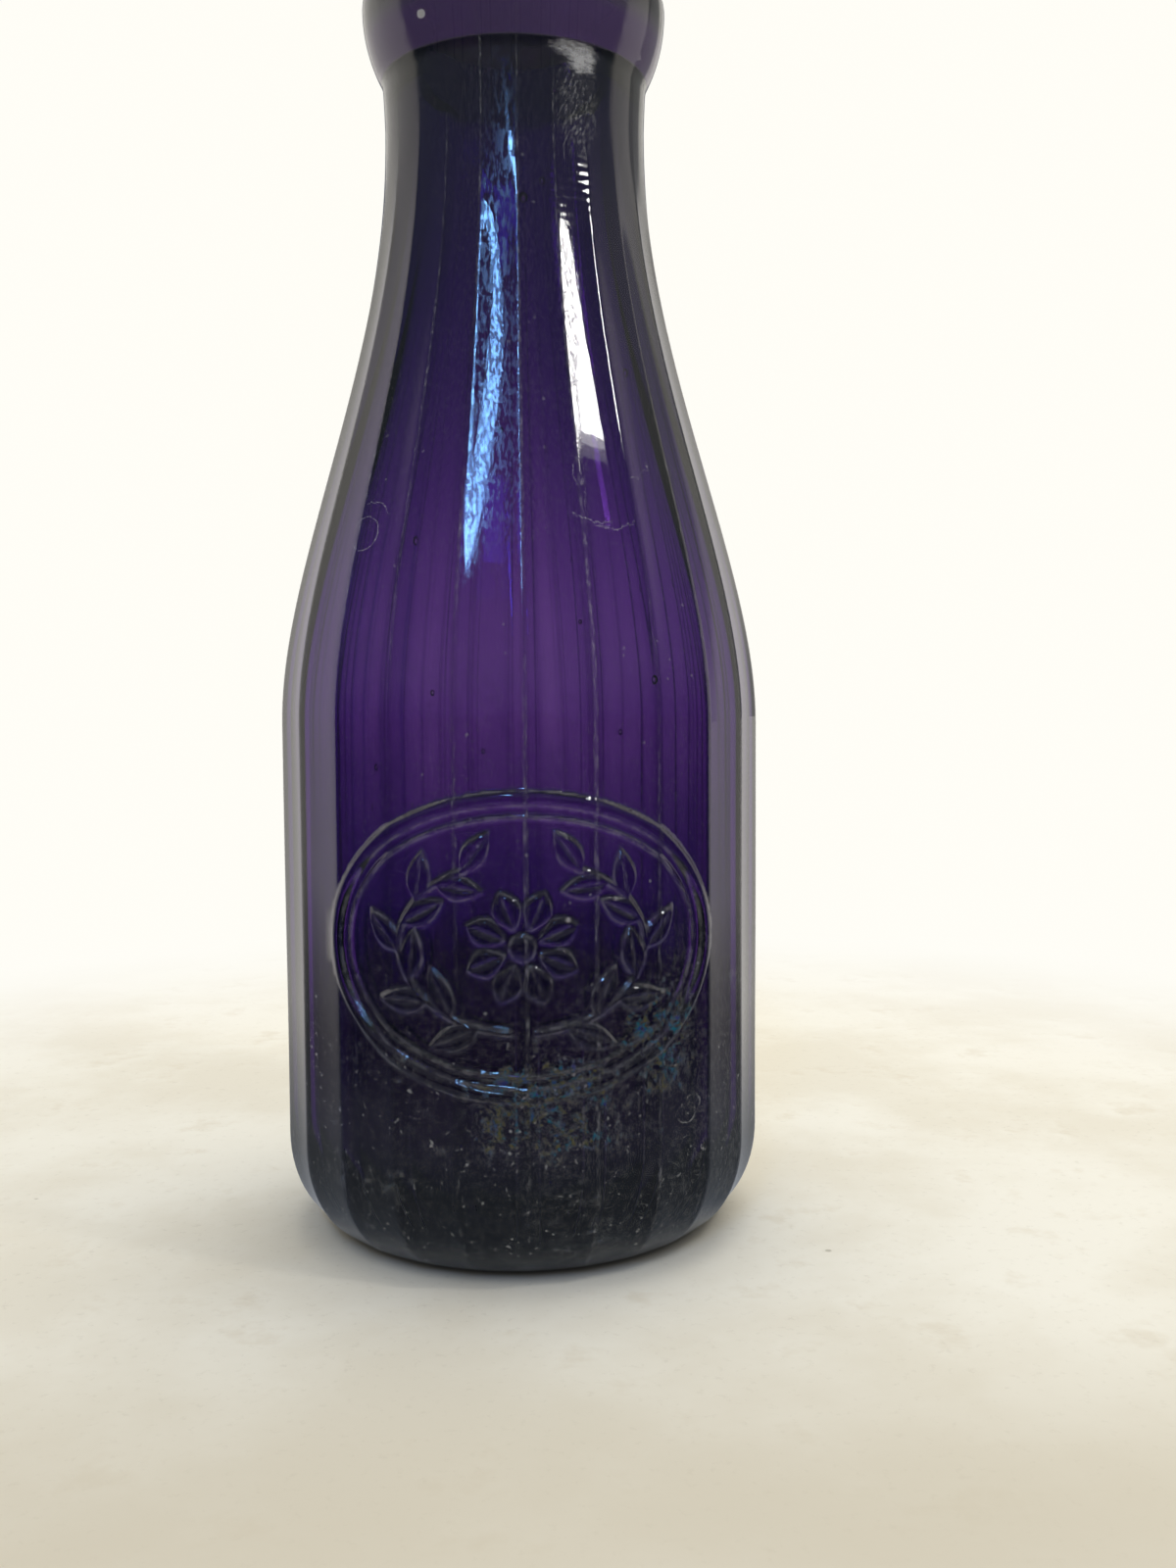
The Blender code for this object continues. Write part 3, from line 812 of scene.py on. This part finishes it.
def glass_material():
    """Violet glass: clear at heart, dulled by stain, film, dirt, wear and fine scratches, with painted
    shade and painted light in places.
    """
    material = bpy.data.materials.new("violet_glass")
    t = Tree(material)
    paint = GlassPaint(t)
    lower_darkening, stain = paint.lower_darkening_and_stain()
    seam, edge = paint.lines()
    haze, flecks = paint.films()
    specks_and_painted_light = paint.specks_and_painted_light()
    lip = paint.lip()
    lint = paint.lint()
    film = t.ramp(t.noise(paint.place, 300.0, 5.0, 0.75, 0.4), FILM_COLOURS)
    film = t.mix(t.step(flecks, 0.0, 0.35), HAZE_TINT, film)
    # Pale tint for the marks outside: violet on the relief, for its wear and painted light.
    dull = t.mix(t.step(paint.raised, 0.0, 0.05), WEAR_AND_HIGHLIGHT_TINT, RELIEF_WEAR_AND_LIGHT_TINT)

    colour = t.mix(lower_darkening, CLEAR_TINT, LOWER_DARK_TINT)
    colour = t.mix(stain, colour, STAIN_TINT)
    colour = t.mix(seam, colour, SEAM_TINT)
    # Painted shade on the ridges at the right.
    colour = t.mix(edge, colour, RIGHT_RIDGE_SHADE_TINT)
    # Painted shade along the ridges at the left.
    colour = t.mix(t.mul(paint.left_ridge_shade(), 0.55), colour, LEFT_RIDGE_SHADE_TINT)
    colour = t.mix(t.mul(paint.seeds(), 0.8), colour, SEED_TINT)
    colour = t.mix(t.mul(lint, 0.20), colour, LINT_TINT)
    colour = t.mix(t.math("MINIMUM", t.add(haze, flecks), 1.0), colour, film)
    # Pale wear and dirt outside, with the painted highlight under the lip and painted light on the
    # relief's edges.
    colour = t.mix(specks_and_painted_light, colour, dull)
    # Painted light: the lighter violet on the lip.
    colour = t.mix(t.mul(lip, t.sub(1.0, specks_and_painted_light)), colour, LIP_TINT)
    filmed = t.add(t.mul(haze, 0.12), t.mul(flecks, 0.19))
    solid = t.most(t.mul(stain, 0.5), filmed, t.mul(specks_and_painted_light, 0.5), t.mul(lip, 0.115), t.mul(lint, 0.022))

    marks, share = paint.brushing()
    dashes = t.mul(t.step(marks, 0.48, 0.55), share)
    rough = t.add(0.012, t.mul(t.step(paint.fine, 0.50, 0.75), 0.03))
    rough = t.add(rough, t.mul(dashes, 0.20))
    rough = t.add(rough, t.add(t.mul(haze, 0.05), t.mul(specks_and_painted_light, 0.4)))
    absorb = t.node("ShaderNodeVolumeAbsorption", {"Color": GLASS_ABSORPTION, "Density": GLASS_DENSITY})
    t.surface(
        {
            "Base Color": colour,
            "Roughness": rough,
            "IOR": GLASS_IOR,
            "Transmission Weight": t.sub(1.0, solid),
            "Normal": paint.normal(marks, share),
        },
        absorb,
    )
    return material


def board_material():
    """Waxed paperboard: cream, with short fibres and a faint gloss."""
    material = bpy.data.materials.new("waxed_board")
    t = Tree(material)
    place = t.place()
    fibres = t.noise(t.stretch(place, (1.0, 0.35, 1.0)), 1700.0, 5.0, 0.7, 0.8)
    blotch = t.noise(place, 160.0, 4.0, 0.6)
    chips = t.step(t.noise(t.stretch(place, (0.30, 1.0, 1.0)), 2100.0, 2.0, 0.6, 0.6), 0.63, 0.70)
    x, y, _ = t.split(place)
    edge = t.step(t.root(x, y), 0.0198, 0.0206)
    colour = t.mix(t.step(blotch, 0.35, 0.65), (0.70, 0.62, 0.46), (0.86, 0.81, 0.69))
    colour = t.mix(t.step(fibres, 0.54, 0.70, 0.0, 0.8), colour, (0.55, 0.45, 0.31))
    colour = t.mix(t.mul(chips, 0.6), colour, (0.36, 0.27, 0.17))
    colour = t.mix(t.mul(edge, 0.5), colour, (0.60, 0.50, 0.34))
    t.surface(
        {
            "Base Color": colour,
            "Roughness": t.step(blotch, 0.3, 0.7, 0.34, 0.55),
            "Coat Weight": 0.25,
            "Coat Roughness": 0.28,
            "Transmission Weight": 0.30,
            "Normal": t.bump(fibres, 0.00008, 0.8, t.bump(blotch, 0.0004, 0.6)),
        }
    )
    return material


def kraft_material():
    """Brown kraft paper with long fibres, paler where the fold has worn it."""
    material = bpy.data.materials.new("tab_paper")
    t = Tree(material)
    place = t.place()
    fibres = t.noise(t.stretch(place, (0.25, 1.0, 1.0)), 3200.0, 6.0, 0.7, 1.2)
    blotch = t.noise(place, 300.0, 4.0, 0.6)
    _, y, _ = t.split(place)
    crease = t.step(t.size(t.sub(y, TAB_FOLD_PLACE)), 0.0009, 0.0002)
    colour = t.mix(t.step(blotch, 0.35, 0.65), (0.43, 0.30, 0.17), (0.62, 0.47, 0.30))
    colour = t.mix(t.step(fibres, 0.52, 0.68), colour, (0.76, 0.63, 0.45))
    colour = t.mix(t.step(fibres, 0.42, 0.32, 0.0, 0.7), colour, (0.26, 0.17, 0.09))
    colour = t.mix(t.mul(crease, 0.5), colour, (0.78, 0.68, 0.52))
    rough = t.step(fibres, 0.3, 0.7, 0.62, 0.85)
    t.surface({"Base Color": colour, "Roughness": rough, "Normal": t.bump(fibres, 0.00005, 0.8)})
    return material


def wire_material():
    """Drawn steel wire, with fine lines along it and a few dull spots."""
    material = bpy.data.materials.new("staple_wire")
    t = Tree(material)
    place = t.place()
    lines = t.noise(t.stretch(place, (0.06, 1.0, 1.0)), 9000.0, 3.0)
    spots = t.step(t.noise(place, 700.0, 4.0, 0.6), 0.52, 0.68)
    colour = t.mix(spots, (0.62, 0.61, 0.59), (0.40, 0.33, 0.27))
    rough = t.add(t.step(lines, 0.3, 0.7, 0.22, 0.40), t.mul(spots, 0.25))
    t.surface(
        {
            "Base Color": colour,
            "Metallic": t.sub(1.0, t.mul(spots, 0.35)),
            "Roughness": rough,
            "Normal": t.bump(lines, 0.00001),
        }
    )
    return material


# Stage: floor, world, lamps and camera


def azimuth_of(t, x, y):
    """The angle round the upright axis, from -Y towards +X."""
    return t.math("ARCTAN2", x, t.mul(y, -1.0))


def floor_material():
    """Pale paper, with a painted contact shadow round the bottle's foot and painted shade towards the
    front, that fades into the white surroundings away from the bottle.
    """
    material = bpy.data.materials.new("floor_paper")
    t = Tree(material)
    place = t.place()
    x, y, _ = t.split(place)
    away = t.vector("LENGTH", place, out="Value")
    mottle = t.noise(place, 14.0, 5.0, 0.6)
    blotch = t.noise(place, 55.0, 4.0, 0.65)
    speck = t.step(t.cells(place, 75.0), 0.060, 0.030)
    speck = t.mul(speck, t.step(t.noise(place, 23.0, 2.0), 0.56, 0.64))
    colour = t.mix(t.step(mottle, 0.38, 0.62), (0.84, 0.79, 0.66), (0.92, 0.885, 0.77))
    colour = t.mix(t.step(blotch, 0.56, 0.72, 0.0, 0.40), colour, (0.72, 0.64, 0.49))
    colour = t.mix(t.mul(speck, 0.5), colour, (0.30, 0.26, 0.18))
    grain = t.noise(place, 480.0, 4.0, 0.70)
    colour = t.mix(t.step(grain, 0.56, 0.70, 0.0, 0.16), colour, (0.45, 0.40, 0.30))
    # Painted shadow: a dark ring on the paper round the bottle's foot, for its contact shadow.
    colour = t.mix(t.step(away, 0.0415, 0.0340, 0.0, 0.85), colour, (0.045, 0.05, 0.075))
    # Painted shade: the paper darkens towards the front, on the camera's side.
    colour = t.mix(t.step(y, -0.045, -0.125, 0.0, 0.72), colour, (0.64, 0.575, 0.44))
    paper = t.node("ShaderNodeBsdfDiffuse", {"Color": colour, "Normal": t.bump(blotch, 0.0004, 0.4)})

    # Far off the paper gives way to a glow like the surroundings. Gloss sees that glow close by too.
    rays = t.tree.nodes.new("ShaderNodeLightPath")
    gloss = rays.outputs["Is Glossy Ray"]
    through = rays.outputs["Is Transmission Ray"]
    room = t.mix(t.step(away, 0.11, 0.22), ROOM_HIGH, ROOM_LOW)
    room = t.mix(t.step(t.blend(through, y, away), -0.05, 0.18), room, SIDE_LIGHT)
    behind = t.step(t.size(azimuth_of(t, x, y)), *BEHIND_EDGES)
    room = t.mix(t.mul(behind, t.sub(1.0, through)), room, ROOM_BEHIND)
    tone = t.mix(gloss, PALE, room)
    glow = t.node("ShaderNodeEmission", {"Color": tone, "Strength": 1.0})
    fade = t.step(t.add(away, t.mul(t.sub(mottle, 0.5), 0.03)), 0.15, 0.34)
    fade = t.blend(gloss, fade, t.step(away, 0.034, 0.048))
    seen = t.most(rays.outputs["Is Camera Ray"], gloss, through)
    mixed = t.tree.nodes.new("ShaderNodeMixShader")
    t.link(t.mul(fade, seen), mixed.inputs[0])
    t.link(paper, mixed.inputs[1])
    t.link(glow, mixed.inputs[2])
    output = t.tree.nodes.new("ShaderNodeOutputMaterial")
    t.link(mixed.outputs[0], output.inputs["Surface"])
    return material


def make_floor():
    """The sheet of paper that the bottle stands on."""
    mesh = bpy.data.meshes.new("floor")
    work = bmesh.new()
    bmesh.ops.create_grid(work, x_segments=8, y_segments=8, size=FLOOR_SIZE)
    work.to_mesh(mesh)
    work.free()
    mesh.materials.append(floor_material())
    floor = bpy.data.objects.new("floor", mesh)
    floor.location = (0, 0, -FLOOR_DROP)
    bpy.context.scene.collection.objects.link(floor)


def make_world():
    """Pale surroundings, with a dark room in front of the bottle that only its gloss mirrors."""
    world = bpy.data.worlds.new("surroundings")
    t = Tree(world)
    rays = t.tree.nodes.new("ShaderNodeLightPath")
    way = t.node("ShaderNodeTexCoord", out="Generated")
    x, y, z = t.split(way)
    azimuth = azimuth_of(t, x, y)
    left = t.step(azimuth, math.radians(-88), math.radians(-97))
    right = t.step(azimuth, math.radians(88), math.radians(96))
    glow = t.mul(t.step(azimuth, math.radians(70), math.radians(80)), t.step(z, 0.30, 0.55, 0.0, 0.42))
    dim = t.step(azimuth, math.radians(117), math.radians(121))
    dim = t.mul(dim, t.step(azimuth, math.radians(146), math.radians(140)))
    behind = t.step(t.size(azimuth), *BEHIND_EDGES)
    gloss = t.mix(t.step(z, -0.02, 0.30), ROOM_LOW, ROOM_HIGH)
    gloss = t.mix(t.most(left, right, glow), gloss, SIDE_LIGHT)
    gloss = t.mix(t.mul(dim, 0.75), gloss, ROOM_DIM)
    gloss = t.mix(behind, gloss, ROOM_BEHIND)
    colour = t.mix(rays.outputs["Is Glossy Ray"], AMBIENT, gloss)
    plain = t.most(rays.outputs["Is Camera Ray"], rays.outputs["Is Transmission Ray"])
    colour = t.mix(plain, colour, PALE)
    background = t.node("ShaderNodeBackground", {"Color": colour, "Strength": 1.0})
    output = t.tree.nodes.new("ShaderNodeOutputWorld")
    t.link(background, output.inputs["Surface"])
    bpy.context.scene.world = world


def direction(azimuth, elevation):
    """A unit vector; azimuth in degrees from -Y towards +X, elevation up."""
    a, e = math.radians(azimuth), math.radians(elevation)
    return Vector((math.cos(e) * math.sin(a), -math.cos(e) * math.cos(a), math.sin(e)))


def make_lamp(name, low_end, high_end, width, colour, radiance):
    """A strip lamp between two places, facing the bottle."""
    low_end, high_end = Vector(low_end), Vector(high_end)
    centre = (low_end + high_end) / 2
    along = (high_end - low_end).normalized()
    back = (centre - Vector((0, 0, LAMP_AIM))).normalized()
    side = along.cross(back).normalized()
    back = side.cross(along).normalized()
    data = bpy.data.lights.new(name, "AREA")
    data.shape = "RECTANGLE"
    data.size = width
    data.size_y = (high_end - low_end).length
    data.color = colour
    data.energy = radiance * math.pi * data.size * data.size_y
    lamp = bpy.data.objects.new(name, data)
    lamp.matrix_world = Matrix((side, along, back)).transposed().to_4x4()
    lamp.matrix_world.translation = centre
    bpy.context.scene.collection.objects.link(lamp)
    lamp.visible_camera = False
    return lamp


def make_lamps():
    """Strips that the shoulder's panels and the neck mirror, and one large soft lamp above."""
    panel = Vector((0.013, -0.0325, 0))
    outward = Vector((math.sin(STREAK_AZIMUTH), -math.cos(STREAK_AZIMUTH), 0))
    foot = panel + STREAK_DISTANCE * outward
    for name, low, high, radiance in STREAK_LAMPS:
        ends = (foot + Vector((0, 0, low)), foot + Vector((0, 0, high)))
        make_lamp(name, *ends, STREAK_WIDTH, STREAK_COLOUR, radiance)
    ridge = Vector((-0.006, -0.036, 0.160))

    def sky_lamp(name, low, high, width, colour, radiance):
        ends = [ridge + SKY_DISTANCE * direction(*end) for end in (low, high)]
        make_lamp(name, *ends, width, colour, radiance)

    for name, aside in BLUE_LAMPS:
        low_end = (-7.9 + 0.45 * aside, 27.8)
        sky_lamp(name, low_end, (-15.9 + 1.1 * aside, 43), 0.013, SKY_COLOUR, SKY_RADIANCE)
    sky_lamp("neck_lamp", (-7.0, 23.5), (-8.0, 28), 0.020, SKY_COLOUR, 9.0)
    sky_lamp("deep_lamp", (-16.4, 31.0), (-17.4, 38.5), 0.090, (0.09, 0.05, 1.0), 2.2)
    above = ((0.14, -0.05, 1.05), (0.14, 0.60, 1.05))
    overhead = make_lamp("overhead_lamp", *above, 0.80, (1.0, 0.98, 0.93), 2.75)
    overhead.visible_glossy = False


def make_camera():
    """The photograph's camera: placed, turned about the upright axis, dipped and rolled."""
    data = bpy.data.cameras.new("camera")
    data.lens = CAMERA_LENS
    data.sensor_fit = "VERTICAL"
    data.sensor_height = SENSOR_HEIGHT
    data.clip_start = 0.01
    camera = bpy.data.objects.new("camera", data)
    turn = Matrix.Rotation(-CAMERA_TURN, 4, "Z") @ Matrix.Rotation(math.pi / 2 - CAMERA_DIP, 4, "X")
    turn = turn @ Matrix.Rotation(CAMERA_ROLL, 4, "Z")
    camera.matrix_world = Matrix.Translation(CAMERA_PLACE) @ turn
    bpy.context.scene.collection.objects.link(camera)
    bpy.context.scene.camera = camera


# The object


def make_glass():
    """The finer glass, which rides on the CAD's bottle and stands in for it."""
    glass = bpy.data.objects.new("glass", glass_mesh())
    bpy.context.scene.collection.objects.link(glass)
    glass.data.materials.append(glass_material())
    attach(glass, "bottle")
    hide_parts("bottle")


def dress_cap():
    """Give the cap's CAD pieces their materials."""
    paper = kraft_material()
    looks = {
        "cap_disc": board_material(),
        "tab_strip": paper,
        "pull_tab": paper,
        "cap_staple": wire_material(),
    }
    for name, material in looks.items():
        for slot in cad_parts[name].material_slots:
            slot.material = material


make_glass()
dress_cap()
make_floor()
make_world()
make_lamps()
make_camera()
bpy.context.scene.view_settings.view_transform = "Standard"
